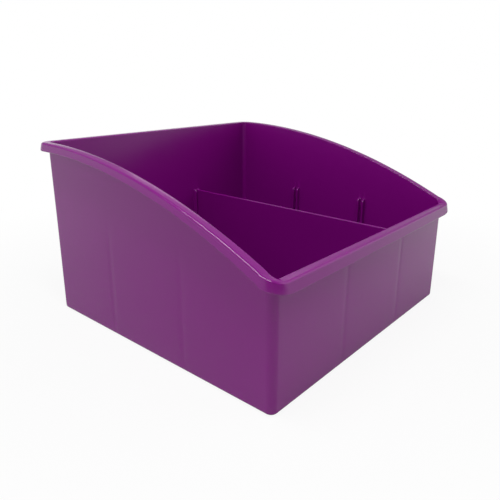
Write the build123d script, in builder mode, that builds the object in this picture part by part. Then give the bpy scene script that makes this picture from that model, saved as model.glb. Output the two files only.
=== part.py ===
from build123d import *

import os
from math import radians, tan

# Open book bin with a high back, a low front and one loose divider.
# X runs left to right along the front, Y from front to back, Z up from the table.

# Driving dimensions, in millimetres and degrees
base_width = 300.0        # outside of the base, left to right
base_depth = 289.4        # outside of the base, front to back
back_height = 181.5       # table to the top of the rim along the back
front_height = 109.3      # table to the top of the rim along the front
draft_angle = 1.4         # outward lean of every wall
corner_radius = 12.0      # outside of the four upright corners
wall = 2.5                # thickness of the walls and of the rim
floor_thickness = 3.0
base_round = 2.0          # outside edge between the walls and the base
floor_round = 3.0         # inside edge between the walls and the floor
rim_overhang = 8.3        # outside of the wall to the outside of the skirt
skirt_depth = 9.6         # top of the rim to the lower edge of the skirt
rim_round = 3.0           # outer top edge of the rim
lip_round = 0.6           # inner top edge of the rim
bend_round = 28.0         # where the falling side line turns into the level front line
slot_pitch_x = 103.0      # between the two slots of the front and back walls
slot_pitch_y = 98.0       # between the two slots of the side walls
rib_reach = 4.0           # how far a rib stands out from its wall
rib_thickness = 2.4
rib_below_skirt = 1.0     # top of the ribs below the skirt's lower edge at the front
divider_thickness = 3.0
divider_side_gap = 0.5    # divider to each rib of its slot
divider_end_gap = 0.8     # divider to the wall behind its slot

# Sizes that follow from them
lean = tan(radians(draft_angle))
slot_x = slot_pitch_x / 2
slot_y = slot_pitch_y / 2
rib_offset = (divider_thickness + rib_thickness) / 2 + divider_side_gap
rib_top = front_height - skirt_depth - rib_below_skirt
rim_base = rib_top - skirt_depth
over_all = back_height + skirt_depth
out_of_reach = base_width + base_depth


def half_depth(height, inset):
    """Half the depth at a height, inset from the outside of the walls."""
    return base_depth / 2 + lean * height - inset


def drafted_block(low, high, inset):
    """Solid that leans as the walls do, inset from their outside, between two heights."""
    grow = 2 * (lean * low - inset)
    with BuildPart() as block:
        with BuildSketch(Plane.XY.offset(low)):
            Rectangle(base_width + grow, base_depth + grow)
        extrude(amount=high - low)
        draft(faces().filter_by(Axis.Z, reverse=True), Plane.XY.offset(low), -draft_angle)
        fillet(edges().group_by(Axis.Z)[1], radius=max(corner_radius - inset, wall))
    return block.part


def below_rim_line(drop):
    """Everything below the line of the rim's top, lowered by a drop."""
    high = back_height - drop
    low = front_height - drop
    arc_start = (half_depth(back_height, 0), high)
    arc_end = (-half_depth(front_height, wall), low)
    with BuildPart() as block:
        with BuildSketch(Plane.YZ):
            with BuildLine():
                TangentArc(arc_start, arc_end, tangent=(-1, 0))
                Polyline(
                    arc_end,
                    (-out_of_reach, low),
                    (-out_of_reach, -out_of_reach),
                    (out_of_reach, -out_of_reach),
                    (out_of_reach, high),
                    arc_start,
                )
            make_face()
            fillet(vertices().sort_by_distance(arc_end)[0], radius=bend_round)
        extrude(amount=out_of_reach, both=True)
    return block.part


# Plain bodies that the tub is cut from
rim_block = drafted_block(rim_base, over_all, -rim_overhang)
hollow_block = drafted_block(rim_base, over_all, wall - rim_overhang)
rib_block = drafted_block(0, over_all, wall / 2)
rib_core = drafted_block(0, over_all, wall + rib_reach)
wall_block = drafted_block(0, over_all, 0)
cavity_block = drafted_block(floor_thickness, over_all, wall)

# Outside of the walls, with its rounded foot
with BuildPart() as outside:
    add(wall_block)
    fillet(edges().group_by(Axis.Z)[0], radius=base_round)

# Inside of the tub, with its rounded floor edge
with BuildPart() as cavity:
    add(cavity_block)
    fillet(edges().group_by(Axis.Z)[0], radius=floor_round)

# Hollow under the rim, between the wall and the skirt
with BuildPart() as rim_hollow:
    add(hollow_block)
    add(wall_block, mode=Mode.SUBTRACT)
    add(below_rim_line(wall), mode=Mode.INTERSECT)

# Pairs of upright ribs that make two slots on each wall
with BuildPart() as ribs:
    with BuildSketch(Plane.XY.offset(floor_thickness / 2)):
        for side in (-rib_offset, rib_offset):
            with Locations((-slot_x + side, 0), (slot_x + side, 0)):
                Rectangle(rib_thickness, out_of_reach)
            with Locations((0, -slot_y + side), (0, slot_y + side)):
                Rectangle(out_of_reach, rib_thickness)
    extrude(amount=rib_top - floor_thickness / 2)
    add(rib_block, mode=Mode.INTERSECT)
    add(rib_core, mode=Mode.SUBTRACT)

# Tub: walls, floor, rolled rim and slot ribs in one moulding
with BuildPart() as tub:
    add(rim_block)
    add(below_rim_line(skirt_depth), mode=Mode.SUBTRACT)
    add(outside.part)
    add(cavity.part, mode=Mode.SUBTRACT)
    add(below_rim_line(0), mode=Mode.INTERSECT)
    rim_edges = edges(Select.NEW)
    lip_edges = rim_edges.filter_by(lambda edge: wall_block.is_inside(edge @ 0.5))
    fillet(lip_edges, radius=lip_round)
    fillet(rim_edges - lip_edges, radius=rim_round)
    add(rim_hollow.part, mode=Mode.SUBTRACT)
    add(ribs.part)
tub.part.label = "tub"

# Divider: a flat panel that stands on the floor in the right-hand slots
with BuildPart() as divider:
    with BuildSketch(Plane.YZ.offset(slot_x)):
        with BuildLine():
            foot = half_depth(floor_thickness, wall + divider_end_gap)
            head = half_depth(rib_top, wall + divider_end_gap)
            Polyline(
                (-foot, floor_thickness),
                (foot, floor_thickness),
                (head, rib_top),
                (-head, rib_top),
                close=True,
            )
        make_face()
        chamfer(vertices().group_by(Axis.Y)[0], length=floor_round)
    extrude(amount=divider_thickness / 2, both=True)
    fillet(edges().filter_by(Axis.Y).group_by(Axis.Z)[-1], radius=divider_thickness / 3)
divider.part.label = "divider"

os.makedirs("parts", exist_ok=True)
export_step(tub.part, "parts/tub.step")
export_step(divider.part, "parts/divider.step")
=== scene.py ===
import math

import bmesh
import bpy
from mathutils import Matrix, Vector


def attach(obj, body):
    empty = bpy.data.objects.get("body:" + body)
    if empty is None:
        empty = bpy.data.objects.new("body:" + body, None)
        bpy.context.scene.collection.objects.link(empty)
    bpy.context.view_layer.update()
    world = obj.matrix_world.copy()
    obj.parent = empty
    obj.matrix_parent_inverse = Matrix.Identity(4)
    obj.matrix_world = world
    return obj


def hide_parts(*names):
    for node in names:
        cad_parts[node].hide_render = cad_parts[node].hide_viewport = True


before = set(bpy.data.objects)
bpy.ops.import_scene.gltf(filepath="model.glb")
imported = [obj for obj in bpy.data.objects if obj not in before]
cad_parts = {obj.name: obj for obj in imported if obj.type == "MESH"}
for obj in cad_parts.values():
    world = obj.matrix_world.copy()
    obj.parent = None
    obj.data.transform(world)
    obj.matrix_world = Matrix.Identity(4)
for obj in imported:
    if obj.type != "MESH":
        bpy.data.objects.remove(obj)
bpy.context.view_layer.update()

# Open book bin with a high back, a low front and one loose divider.
# Sizes are in millimetres and angles in degrees, unless a heading says otherwise.
MM = 0.001

# Tub: base and walls
HALF_WIDTH = 150.0            # outside of the base
HALF_DEPTH = 144.7
DRAFT_ANGLE = 1.4             # outward lean of every wall
LEAN = math.tan(math.radians(DRAFT_ANGLE))
CORNER = 7.5                  # upright corners, from the rib tops up
CORNER_FOOT = 6.5             # upright corners, at the foot
WALL = 2.5
FLOOR = 3.0
BASE_ROUND = 3.0
FLOOR_ROUND = 3.0
FRONT_BOW = 0.75              # how far the middle of the front stands out, at the rim
FRONT_SET_BACK = (1.15, 0.3)  # how far its left and right ends are set back
BOW_POWER = 1.5               # how the bow grows with height

# Rim: line of its top
RIM_BACK = 181.5
RIM_FRONT = 109.2
ARC_RADIUS = 647.0            # falling line along the sides
ARC_TOP_Y = 146.7             # where this line starts to fall
BEND_SOFTNESS = 0.6           # where it runs into the level front

# Rim: section, from the inner lip to the outer edge, with the tilt at the end of each round
LIP_ROUND = 1.0
LIP_TILT = 9.0
CROWN = 20.0
FLAT_START = 0.5
FLAT_END = 1.5
SHOULDER = 3.2
SHOULDER_END = 50.0
RIM_EDGE = 1.2
RIM_EDGE_END = 78.0
RIM_REACH = 7.0               # outside of the wall to the rim's outer edge

# Skirt: section, and its depth round the rim
OVERHANG = 8.3                # outside of the wall to the outside of the skirt
SKIRT_THICKNESS = 2.3
SKIRT_EDGE = 1.0
SKIRT_LEAN = 1.2
HOLLOW_ROUND = 1.4
SKIRT_SIDE = 7.7              # depth where the skirt is shallowest
SKIRT_WAIST_Y = -40.0         # where that is, along the sides
SKIRT_BACK_GAIN = 0.9         # extra depth, a run behind the waist
SKIRT_BACK_RUN = 180.0
SKIRT_NOSE_GAIN = 1.9         # extra depth, a run in front of the waist
SKIRT_NOSE_RUN = 100.0
SKIRT_FRONT_LOW = 98.6        # height of the skirt's lower edge along the front

# Slots: pairs of ribs on each wall
SLOT_X = 51.5
SLOT_Y = 49.0
RIB_OFFSET = 3.2              # middle of a slot to the middle of each rib
RIB_TOP = 98.7
RIB_CAP_RISE = 0.4            # top of the cap, where it meets the wall
RIB_FOOT_DRAW = 2.5           # how far a rib draws back at the floor
# Half the width of a rib and its reach there, from the wall out
RIB_OUTLINE = ((1.9, 0.0), (1.55, 0.15), (1.4, 0.6), (1.2, 4.3), (1.0, 4.7), (0.75, 4.8))
# Depth below the rib's top and the share of its reach there
RIB_CAP = ((3.2, 1.0), (2.1, 0.93), (1.0, 0.74), (0.1, 0.42), (-RIB_CAP_RISE, 0.0))
SINK_DEPTH = 0.24             # faint hollow outside, behind each pair
SINK_WIDTH = 3.5
SINK_FADE = 6.0

# Divider
DIVIDER_THICKNESS = 3.0
DIVIDER_END_GAP = 0.8
DIVIDER_CHAMFER = 3.0
DIVIDER_EDGE = 1.0

# Mesh: steps along each round
LIP_STEPS = 4
CROWN_STEPS = 6
FLAT_STEPS = 2
SHOULDER_STEPS = 8
RIM_EDGE_STEPS = 3
SKIRT_EDGE_STEPS = 4
SKIRT_INSIDE_STEPS = 2
HOLLOW_STEPS = 3
FLOOR_STEPS = 5
BASE_STEPS = 5
CORNER_STEPS = 12
DIVIDER_EDGE_STEPS = 3

# Mesh: rows up the walls, columns along them and rings on the floor
INSIDE_ROWS = (14, 30, 50, 70, 84, 92)
OUTSIDE_ROWS = (76, 52, 30, 14)
ABOVE_RIB_SHARES = (0.2, 0.45, 0.72)
BELOW_HOLLOW_SHARES = (0.6, 0.2)
SLOT_COLUMNS = (-12.0, -8.5, 0.0, 8.5, 12.0)
SLOT_CLEAR = 14.0
END_STEPS = 7
END_MARGIN = 2.0
MIDDLE_STEPS = 4
FLOOR_RINGS = (24.0, 70.0)
BASE_RINGS = (14.0, 60.0)

# Directions of the walls in plan
FRONT = (0, -1)
RIGHT = (1, 0)
BACK = (0, 1)
LEFT = (-1, 0)

# Colours, linear
PURPLE = (0.225, 0.002, 0.215, 1.0)
PURPLE_DEEP = (0.205, 0.0015, 0.197, 1.0)
WHITE = (1.0, 1.0, 1.0, 1.0)
FLOOR_GREY = (0.76, 0.76, 0.76, 1.0)

# Finish: scale and detail of each noise, strength and depth in metres of each bump
PLASTIC_IOR = 1.49
PLASTIC_SPECULAR = 0.43
ROUGHNESS = (0.2, 0.24)
CLOUD_SPAN = (0.3, 0.7)
DRIFT_NOISE = (9.0, 3.0)
CLOUD_NOISE = (45.0, 4.0)
WAVE_NOISE = (14.0, 1.0)
GRAIN_NOISE = (1400.0, 2.0)
WAVE_BUMP = (0.1, 0.0006)
GRAIN_BUMP = (0.08, 0.0001)

# World: its strength at a few heights, from 0 at the horizon to 1 overhead
WORLD_LEVELS = (
    (0.0, 1.05),
    (0.15, 1.05),
    (0.23, 0.7),
    (0.3, 0.27),
    (0.45, 0.33),
    (0.63, 0.6),
    (0.76, 0.6),
    (0.9, 0.25),
)

# World: dark gap between the lights, with its direction, where it starts and is full, and its level
GAP_TOWARDS = (-0.39, -0.92, 0.0)
GAP_SPAN = (0.4, 0.75)
GAP_LEVEL = 0.13

# Floor, in metres: share of plain white near the bin, and where it fades to all white
FLOOR_HALF_SIZE = 0.9
FLOOR_HEIGHT = -0.0002
FLOOR_WHITE_IN_GLOSS = 0.2
FLOOR_WHITE_SEEN = 0.9
FLOOR_FADE = (0.2, 0.6)

# Lamps: name, place, point that it faces, width and length in metres, and power in watts
LAMPS = (
    ("high_lamp", (-0.3, -0.2, 1.0), (-0.3, -0.2, 0.0), 0.16, 0.8, 6.8),
    ("left_lamp", (-1.28, 0.74, 0.72), (0.0, 0.0, 0.1), 1.6, 0.8, 2.3),
    ("right_lamp", (1.02, -1.02, 0.78), (0.0, 0.0, 0.1), 1.6, 1.2, 5.0),
    ("back_lamp", (0.88, 0.76, 0.86), (-0.16, -0.05, 0.14), 0.5, 0.2, 0.5),
)

# Camera, solved from the photograph
CAMERA_AZIMUTH = -48.525
CAMERA_ELEVATION = 12.571
CAMERA_ROLL = 0.061
CAMERA_PLACE = (-419.95, -351.27, 249.33)
CAMERA_LENS = 37.48
CAMERA_SENSOR = 36.0
CAMERA_SHIFT = (0.02, -0.12)
CAMERA_CLIP_START = 0.01      # in metres


def smooth_max(a, b, softness):
    """The larger of two values, with a soft change-over."""
    return (a + b + math.hypot(a - b, softness)) / 2


def blend(pair, share):
    """A value between the two of a pair."""
    return pair[0] + (pair[1] - pair[0]) * share


def sine(degrees):
    """Sine of an angle in degrees."""
    return math.sin(math.radians(degrees))


def arc_drop(y):
    """How far the side line has fallen below the back, at a place along the side."""
    run = min(y - ARC_TOP_Y, 0.0)
    return ARC_RADIUS - math.sqrt(ARC_RADIUS**2 - run * run)


# Nose: the front end of the side line, where it turns into the front corner
NOSE_Y = -(HALF_DEPTH + LEAN * RIM_FRONT - CORNER)
NOSE_SLOPE = (ARC_TOP_Y - NOSE_Y) / (ARC_RADIUS - arc_drop(NOSE_Y))
TURN_END = CORNER * math.pi / 2


def corner_at(height):
    """Radius of the upright corners, a little tighter at the foot."""
    return CORNER_FOOT + (CORNER - CORNER_FOOT) * min(max(height / RIB_TOP, 0.0), 1.0)


class Station:
    """One upright slice of the tub's walls, on a flat wall or at an angle round a corner."""

    def __init__(self, toward, normal, place, y, turn, bow=0.0, rib=0.0, sink=0.0):
        self.toward = toward
        self.normal = normal
        self.place = place
        self.bow = bow
        self.rib = rib
        self.sink = sink
        fall = RIM_BACK - arc_drop(y) - NOSE_SLOPE * turn
        toward_back = max(y - SKIRT_WAIST_Y, 0.0) / SKIRT_BACK_RUN
        toward_nose = max(SKIRT_WAIST_Y - y, 0.0) / SKIRT_NOSE_RUN
        skirt = SKIRT_SIDE + SKIRT_BACK_GAIN * toward_back**2 + SKIRT_NOSE_GAIN * toward_nose**2
        self.top = smooth_max(fall, RIM_FRONT, BEND_SOFTNESS)
        self.low = smooth_max(fall - skirt, SKIRT_FRONT_LOW, BEND_SOFTNESS)

    def at(self, out, height):
        """Place at a distance out from the leaning outer wall and a height."""
        radius = corner_at(height)
        reach = radius + out
        bow = self.bow * (max(height, 0.0) / RIM_FRONT) ** BOW_POWER
        middle_x = self.toward[0] * (HALF_WIDTH + LEAN * height - radius) + self.place[0]
        middle_y = self.toward[1] * (HALF_DEPTH + LEAN * height - radius) + self.place[1] - bow
        return Vector((middle_x + self.normal[0] * reach, middle_y + self.normal[1] * reach, height))

    def on_floor(self, inset, height):
        """Place on the floor or the base, drawn in toward the middle."""
        edge = self.at(-BASE_ROUND, height)
        return Vector((edge.x * (1 - inset / HALF_WIDTH), edge.y * (1 - inset / HALF_DEPTH), height))


def wall_marks(slot, end):
    """Places along a flat wall, from one end to the other, with the reach of a rib at each."""
    marks = {}
    for centre in (-slot, slot):
        for column in SLOT_COLUMNS:
            marks[centre + column] = 0.0
        for side in (-RIB_OFFSET, RIB_OFFSET):
            for width, reach in RIB_OUTLINE:
                marks[centre + side - width] = reach
                marks[centre + side + width] = reach
    end_run = end - slot - SLOT_CLEAR
    for step in range(END_STEPS + 1):
        marks.setdefault(-end + step * end_run / END_STEPS, 0.0)
        marks.setdefault(end - step * end_run / END_STEPS, 0.0)
    middle_run = slot - SLOT_CLEAR
    for step in range(-MIDDLE_STEPS, MIDDLE_STEPS + 1):
        marks.setdefault(middle_run * step / MIDDLE_STEPS, 0.0)
    return sorted(marks.items())


def sink_at(mark, slot):
    """Depth of the faint hollow outside a pair of ribs."""
    return SINK_DEPTH * math.exp(-(((abs(mark) - slot) / SINK_WIDTH) ** 2))


def wall_stations(along, normal, slot, end):
    """Slices of one flat wall."""
    found = []
    for mark, rib in wall_marks(slot, end):
        place = (along[0] * mark, along[1] * mark)
        y = place[1]
        turn = 0.0
        bow = 0.0
        if normal == FRONT:
            y = NOSE_Y
            turn = 2 * TURN_END
            across = mark / end
            bow = FRONT_BOW * (1 - across**2) - blend(FRONT_SET_BACK, (across + 1) / 2)
        elif normal == BACK:
            y = ARC_TOP_Y
        found.append(Station(normal, normal, place, y, turn, bow, rib, sink_at(mark, slot)))
    return found


def corner_stations(along, normal):
    """Slices round the corner that follows a wall."""
    found = []
    start = math.atan2(normal[1], normal[0])
    toward = (along[0] + normal[0], along[1] + normal[1])
    set_back = FRONT_SET_BACK[0] if toward[0] < 0 else FRONT_SET_BACK[1]
    for step in range(CORNER_STEPS + 1):
        angle = start + step * math.pi / 2 / CORNER_STEPS
        turned = (math.cos(angle), math.sin(angle))
        if toward[1] < 0:
            round_the_nose = CORNER * math.asin(min(max(-turned[1], 0.0), 1.0))
            found.append(Station(toward, turned, (0, 0), NOSE_Y, round_the_nose, -set_back))
        else:
            y = HALF_DEPTH - CORNER + CORNER * turned[1]
            found.append(Station(toward, turned, (0, 0), y, 0.0))
    return found


def stations():
    """Round the tub once: front, right side, back, left side, each followed by its corner."""
    end_x = HALF_WIDTH - CORNER - END_MARGIN
    end_y = HALF_DEPTH - CORNER - END_MARGIN
    walls = (
        (RIGHT, FRONT, SLOT_X, end_x),
        (BACK, RIGHT, SLOT_Y, end_y),
        (LEFT, BACK, SLOT_X, end_x),
        (FRONT, LEFT, SLOT_Y, end_y),
    )
    found = []
    for along, normal, slot, end in walls:
        found += wall_stations(along, normal, slot, end)
        found += corner_stations(along, normal)
    return found


def bend(centre, radius, start, end, steps):
    """Points of an arc in a slice, as distance out and height."""
    points = []
    for step in range(steps + 1):
        angle = math.radians(start + (end - start) * step / steps)
        points.append((centre[0] + radius * math.cos(angle), centre[1] + radius * math.sin(angle)))
    return points


def inside_points(station, lip_low):
    """Inside of a slice: floor edge, wall or rib with its cap, and the wall above, up to the lip."""
    points = []
    centre = (-WALL - FLOOR_ROUND, FLOOR + FLOOR_ROUND)
    for out, height in bend(centre, FLOOR_ROUND, -90, 0, FLOOR_STEPS):
        drawn_back = RIB_FOOT_DRAW * (1 - (height - FLOOR) / FLOOR_ROUND)
        points.append((out - max(station.rib - drawn_back, 0.0), height))
    for height in INSIDE_ROWS:
        points.append((-WALL - station.rib, height))
    for below, share in RIB_CAP:
        points.append((-WALL - station.rib * share, RIB_TOP - below))
    cap_top = RIB_TOP + RIB_CAP_RISE
    for share in ABOVE_RIB_SHARES:
        points.append((-WALL, cap_top + (lip_low - cap_top) * share))
    return points


def rim_points(top):
    """Top of the rim in a slice: lip, inner crown, flat, shoulder and edge, each running into the next."""
    lip_run = LIP_ROUND * (1 - sine(LIP_TILT))
    crown_run = CROWN * (sine(LIP_TILT) + sine(FLAT_START))
    shoulder_run = SHOULDER * (sine(SHOULDER_END) - sine(FLAT_END))
    edge_run = RIM_EDGE * (sine(RIM_EDGE_END) - sine(SHOULDER_END))
    flat_run = WALL + RIM_REACH - lip_run - crown_run - shoulder_run - edge_run
    flat_radius = flat_run / (sine(FLAT_END) - sine(FLAT_START))
    arcs = (
        (LIP_ROUND, -LIP_TILT, LIP_STEPS),
        (CROWN, FLAT_START, CROWN_STEPS),
        (flat_radius, FLAT_END, FLAT_STEPS),
        (SHOULDER, SHOULDER_END, SHOULDER_STEPS),
        (RIM_EDGE, RIM_EDGE_END, RIM_EDGE_STEPS),
    )
    points = [(-WALL, top - CROWN + (CROWN - LIP_ROUND) * sine(90 - LIP_TILT))]
    tilt = -90.0
    for radius, end, steps in arcs:
        out, height = points[-1]
        centre = (out - radius * sine(tilt), height - radius * sine(90 - tilt))
        points += bend(centre, radius, 90 - tilt, 90 - end, steps)[1:]
        tilt = end
    return points


def skirt_points(station, rim_end):
    """Skirt of a slice, from the rim's outer edge round to the hollow behind it and up to the wall."""
    edge_out, edge_low = rim_end
    low = station.low
    edge_middle = (OVERHANG - SKIRT_EDGE, low + SKIRT_EDGE)
    inner = OVERHANG - SKIRT_THICKNESS
    inner_round = SKIRT_EDGE / 2
    roof = station.top - WALL - HOLLOW_ROUND
    points = [((edge_out + OVERHANG) / 2, (edge_low + low + SKIRT_EDGE) / 2)]
    points += bend(edge_middle, SKIRT_EDGE, 90 - RIM_EDGE_END, -90, SKIRT_EDGE_STEPS)
    points += bend((inner + inner_round, low + inner_round), inner_round, -90, -180, SKIRT_INSIDE_STEPS)
    points += bend((inner - SKIRT_LEAN - HOLLOW_ROUND, roof), HOLLOW_ROUND, 0, 90, HOLLOW_STEPS)
    points += bend((HOLLOW_ROUND, roof), HOLLOW_ROUND, 90, 180, HOLLOW_STEPS)
    return points


def outside_points(station):
    """Outside of a slice: wall below the hollow, with its sink mark, and the rounded foot."""
    points = []
    above = station.top - WALL - HOLLOW_ROUND - RIB_TOP
    for share in BELOW_HOLLOW_SHARES:
        points.append((0.0, RIB_TOP + above * share))
    for height in (RIB_TOP - SINK_FADE, *OUTSIDE_ROWS):
        points.append((-station.sink, height))
    points += bend((-BASE_ROUND, BASE_ROUND), BASE_ROUND, 0, -90, BASE_STEPS)
    return points


def slice_points(station):
    """The outline of one slice, from the floor inside, over the rim, down to the base."""
    rim = rim_points(station.top)
    lip_low = rim[0][1]
    inside = inside_points(station, lip_low)
    return inside + rim + skirt_points(station, rim[-1]) + outside_points(station)


def tub_mesh():
    """The moulded tub as one closed skin."""
    mesh = bpy.data.meshes.new("tub_skin")
    skin = bmesh.new()
    rings = stations()
    columns = []
    for station in rings:
        column = [skin.verts.new(station.at(out, height) * MM) for out, height in slice_points(station)]
        columns.append(column)
    for inset in FLOOR_RINGS:
        for station, column in zip(rings, columns):
            column.insert(0, skin.verts.new(station.on_floor(inset, FLOOR) * MM))
    for inset in BASE_RINGS:
        for station, column in zip(rings, columns):
            column.append(skin.verts.new(station.on_floor(inset, 0.0) * MM))
    for index, column in enumerate(columns):
        following = columns[(index + 1) % len(columns)]
        for row in range(len(column) - 1):
            skin.faces.new((column[row], following[row], following[row + 1], column[row + 1]))
    skin.faces.new([column[0] for column in reversed(columns)])
    skin.faces.new([column[-1] for column in columns])
    bmesh.ops.recalc_face_normals(skin, faces=skin.faces)
    for face in skin.faces:
        face.smooth = True
    skin.to_mesh(mesh)
    skin.free()
    return mesh


def divider_mesh():
    """The flat divider panel, with eased edges."""
    mesh = bpy.data.meshes.new("divider_panel")
    foot = HALF_DEPTH + LEAN * FLOOR - WALL - DIVIDER_END_GAP
    head = HALF_DEPTH + LEAN * RIB_TOP - WALL - DIVIDER_END_GAP
    outline = (
        (-foot + DIVIDER_CHAMFER, FLOOR),
        (foot - DIVIDER_CHAMFER, FLOOR),
        (foot + LEAN * DIVIDER_CHAMFER, FLOOR + DIVIDER_CHAMFER),
        (head, RIB_TOP),
        (-head, RIB_TOP),
        (-foot - LEAN * DIVIDER_CHAMFER, FLOOR + DIVIDER_CHAMFER),
    )
    panel = bmesh.new()
    near = SLOT_X - DIVIDER_THICKNESS / 2
    face = panel.faces.new([panel.verts.new(Vector((near, y, z)) * MM) for y, z in outline])
    grown = bmesh.ops.extrude_face_region(panel, geom=[face])
    moved = [item for item in grown["geom"] if isinstance(item, bmesh.types.BMVert)]
    bmesh.ops.translate(panel, vec=Vector((DIVIDER_THICKNESS * MM, 0, 0)), verts=moved)
    bmesh.ops.recalc_face_normals(panel, faces=panel.faces)
    bmesh.ops.bevel(
        panel,
        geom=list(panel.edges),
        offset=DIVIDER_EDGE * MM,
        segments=DIVIDER_EDGE_STEPS,
        profile=0.5,
        affect="EDGES",
        clamp_overlap=True,
    )
    for side in panel.faces:
        side.smooth = True
    panel.to_mesh(mesh)
    panel.free()
    return mesh


def add_noise(tree, place, scale, detail):
    """Noise that is fixed to the piece."""
    noise = tree.nodes.new("ShaderNodeTexNoise")
    noise.inputs["Scale"].default_value = scale
    noise.inputs["Detail"].default_value = detail
    tree.links.new(place.outputs["Object"], noise.inputs["Vector"])
    return noise.outputs["Fac"]


def add_bump(tree, height, strength, depth):
    """Bump from a height."""
    bump = tree.nodes.new("ShaderNodeBump")
    bump.inputs["Strength"].default_value = strength
    bump.inputs["Distance"].default_value = depth
    tree.links.new(height, bump.inputs["Height"])
    return bump


def add_range(tree, value, span, results, interpolation):
    """Turns a span of values into a range of results."""
    turned = tree.nodes.new("ShaderNodeMapRange")
    turned.interpolation_type = interpolation
    turned.inputs["From Min"].default_value = span[0]
    turned.inputs["From Max"].default_value = span[1]
    turned.inputs["To Min"].default_value = results[0]
    turned.inputs["To Max"].default_value = results[1]
    tree.links.new(value, turned.inputs["Value"])
    return turned.outputs["Result"]


def plastic(name):
    """Satin moulded polypropylene: soft tone drift, fine grain and a faint waviness."""
    material = bpy.data.materials.new(name)
    material.use_nodes = True
    tree = material.node_tree
    shader = tree.nodes["Principled BSDF"]
    shader.inputs["IOR"].default_value = PLASTIC_IOR
    shader.inputs["Specular IOR Level"].default_value = PLASTIC_SPECULAR
    place = tree.nodes.new("ShaderNodeTexCoord")

    drift = add_noise(tree, place, *DRIFT_NOISE)
    tone = tree.nodes.new("ShaderNodeMix")
    tone.data_type = "RGBA"
    tone.inputs["A"].default_value = PURPLE_DEEP
    tone.inputs["B"].default_value = PURPLE
    tree.links.new(drift, tone.inputs["Factor"])
    tree.links.new(tone.outputs["Result"], shader.inputs["Base Color"])

    cloud = add_noise(tree, place, *CLOUD_NOISE)
    gloss = add_range(tree, cloud, CLOUD_SPAN, ROUGHNESS, "LINEAR")
    tree.links.new(gloss, shader.inputs["Roughness"])

    swell = add_bump(tree, add_noise(tree, place, *WAVE_NOISE), *WAVE_BUMP)
    pores = add_bump(tree, add_noise(tree, place, *GRAIN_NOISE), *GRAIN_BUMP)
    tree.links.new(swell.outputs["Normal"], pores.inputs["Normal"])
    tree.links.new(pores.outputs["Normal"], shader.inputs["Normal"])
    return material


def add_piece(name, mesh, material, body, node):
    """A visible piece that moves with a body and stands for a node."""
    piece = bpy.data.objects.new(name, mesh)
    bpy.context.scene.collection.objects.link(piece)
    mesh.materials.append(material)
    even = piece.modifiers.new("even_normals", "WEIGHTED_NORMAL")
    even.keep_sharp = True
    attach(piece, body)
    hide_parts(node)


def shown_to(tree, ray, plain, shown):
    """Shows a second shader to one kind of ray, and the plain one to the rest."""
    path = tree.nodes.new("ShaderNodeLightPath")
    choose = tree.nodes.new("ShaderNodeMixShader")
    tree.links.new(path.outputs[ray], choose.inputs[0])
    tree.links.new(plain.outputs[0], choose.inputs[1])
    tree.links.new(shown.outputs[0], choose.inputs[2])
    return choose


def add_world():
    """White to the camera, and a soft light with a dark gap to everything else."""
    world = bpy.data.worlds.new("studio")
    world.use_nodes = True
    bpy.context.scene.world = world
    tree = world.node_tree
    tree.nodes.clear()
    place = tree.nodes.new("ShaderNodeTexCoord")

    parts = tree.nodes.new("ShaderNodeSeparateXYZ")
    tree.links.new(place.outputs["Generated"], parts.inputs[0])
    ramp = tree.nodes.new("ShaderNodeValToRGB")
    while len(ramp.color_ramp.elements) < len(WORLD_LEVELS):
        ramp.color_ramp.elements.new(0.5)
    for element, (height, strength) in zip(ramp.color_ramp.elements, WORLD_LEVELS):
        element.position = height
        element.color = (strength, strength, strength, 1.0)
    tree.links.new(parts.outputs["Z"], ramp.inputs["Fac"])

    side = tree.nodes.new("ShaderNodeVectorMath")
    side.operation = "DOT_PRODUCT"
    side.inputs[1].default_value = GAP_TOWARDS
    tree.links.new(place.outputs["Generated"], side.inputs[0])
    gap = add_range(tree, side.outputs["Value"], GAP_SPAN, (1.0, GAP_LEVEL), "SMOOTHSTEP")

    level = tree.nodes.new("ShaderNodeMath")
    level.operation = "MULTIPLY"
    tree.links.new(ramp.outputs["Color"], level.inputs[0])
    tree.links.new(gap, level.inputs[1])
    lit = tree.nodes.new("ShaderNodeBackground")
    lit.inputs["Color"].default_value = WHITE
    tree.links.new(level.outputs["Value"], lit.inputs["Strength"])
    seen = tree.nodes.new("ShaderNodeBackground")
    seen.inputs["Color"].default_value = WHITE
    seen.inputs["Strength"].default_value = 1.0
    out = tree.nodes.new("ShaderNodeOutputWorld")
    tree.links.new(shown_to(tree, "Is Camera Ray", lit, seen).outputs[0], out.inputs["Surface"])


def floor_material():
    """Pale matt floor, mixed with plain white for the camera and for reflections."""
    material = bpy.data.materials.new("pale_floor")
    material.use_nodes = True
    tree = material.node_tree
    tree.nodes.clear()
    matt = tree.nodes.new("ShaderNodeBsdfDiffuse")
    matt.inputs["Color"].default_value = FLOOR_GREY
    glow = tree.nodes.new("ShaderNodeEmission")
    glow.inputs["Strength"].default_value = 1.0
    place = tree.nodes.new("ShaderNodeTexCoord")
    away = tree.nodes.new("ShaderNodeVectorMath")
    away.operation = "LENGTH"
    tree.links.new(place.outputs["Object"], away.inputs[0])
    shades = []
    for near_share in (FLOOR_WHITE_IN_GLOSS, FLOOR_WHITE_SEEN):
        fade = add_range(tree, away.outputs["Value"], FLOOR_FADE, (near_share, 1.0), "SMOOTHSTEP")
        shade = tree.nodes.new("ShaderNodeMixShader")
        tree.links.new(fade, shade.inputs[0])
        tree.links.new(matt.outputs[0], shade.inputs[1])
        tree.links.new(glow.outputs[0], shade.inputs[2])
        shades.append(shade)
    mirrored = shown_to(tree, "Is Glossy Ray", matt, shades[0])
    seen = shown_to(tree, "Is Camera Ray", mirrored, shades[1])
    out = tree.nodes.new("ShaderNodeOutputMaterial")
    tree.links.new(seen.outputs[0], out.inputs["Surface"])
    return material


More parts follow.
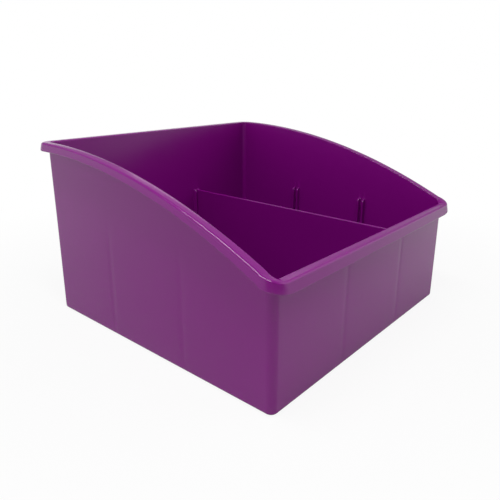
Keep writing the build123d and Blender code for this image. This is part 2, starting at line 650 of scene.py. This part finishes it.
def add_floor():
    """The floor that the bin stands on."""
    mesh = bpy.data.meshes.new("floor_plane")
    sheet = bmesh.new()
    bmesh.ops.create_grid(sheet, x_segments=4, y_segments=4, size=FLOOR_HALF_SIZE)
    bmesh.ops.translate(sheet, vec=Vector((0, 0, FLOOR_HEIGHT)), verts=sheet.verts)
    sheet.to_mesh(mesh)
    sheet.free()
    mesh.materials.append(floor_material())
    floor = bpy.data.objects.new("floor", mesh)
    bpy.context.scene.collection.objects.link(floor)


def add_lamp(name, place, target, width, length, power):
    """A soft lamp that faces a point."""
    lamp = bpy.data.lights.new(name, "AREA")
    lamp.shape = "RECTANGLE"
    lamp.size = width
    lamp.size_y = length
    lamp.energy = power
    holder = bpy.data.objects.new(name, lamp)
    holder.location = place
    facing = Vector(target) - Vector(place)
    holder.rotation_euler = facing.to_track_quat("-Z", "Y").to_euler()
    bpy.context.scene.collection.objects.link(holder)


def add_camera():
    """The camera, turned by its azimuth, elevation and roll."""
    azimuth = math.radians(CAMERA_AZIMUTH)
    elevation = math.radians(CAMERA_ELEVATION)
    back = Vector(
        (
            math.sin(azimuth) * math.cos(elevation),
            -math.cos(azimuth) * math.cos(elevation),
            math.sin(elevation),
        )
    )
    right = Vector((math.cos(azimuth), math.sin(azimuth), 0))
    up = back.cross(right)
    turned = Matrix.Rotation(math.radians(CAMERA_ROLL), 3, back)
    axes = Matrix((turned @ right, turned @ up, back)).transposed()
    data = bpy.data.cameras.new("camera")
    data.lens = CAMERA_LENS
    data.sensor_width = CAMERA_SENSOR
    data.shift_x, data.shift_y = CAMERA_SHIFT
    data.clip_start = CAMERA_CLIP_START
    camera = bpy.data.objects.new("camera", data)
    camera.matrix_world = Matrix.Translation(Vector(CAMERA_PLACE) * MM) @ axes.to_4x4()
    bpy.context.scene.collection.objects.link(camera)
    bpy.context.scene.camera = camera


tub_finish = plastic("tub_plastic")
divider_finish = plastic("divider_plastic")
add_piece("tub_skin", tub_mesh(), tub_finish, "bin", "tub")
add_piece("divider_panel", divider_mesh(), divider_finish, "divider", "divider")
add_world()
add_floor()
for lamp_values in LAMPS:
    add_lamp(*lamp_values)
add_camera()
bpy.context.scene.view_settings.view_transform = "Standard"
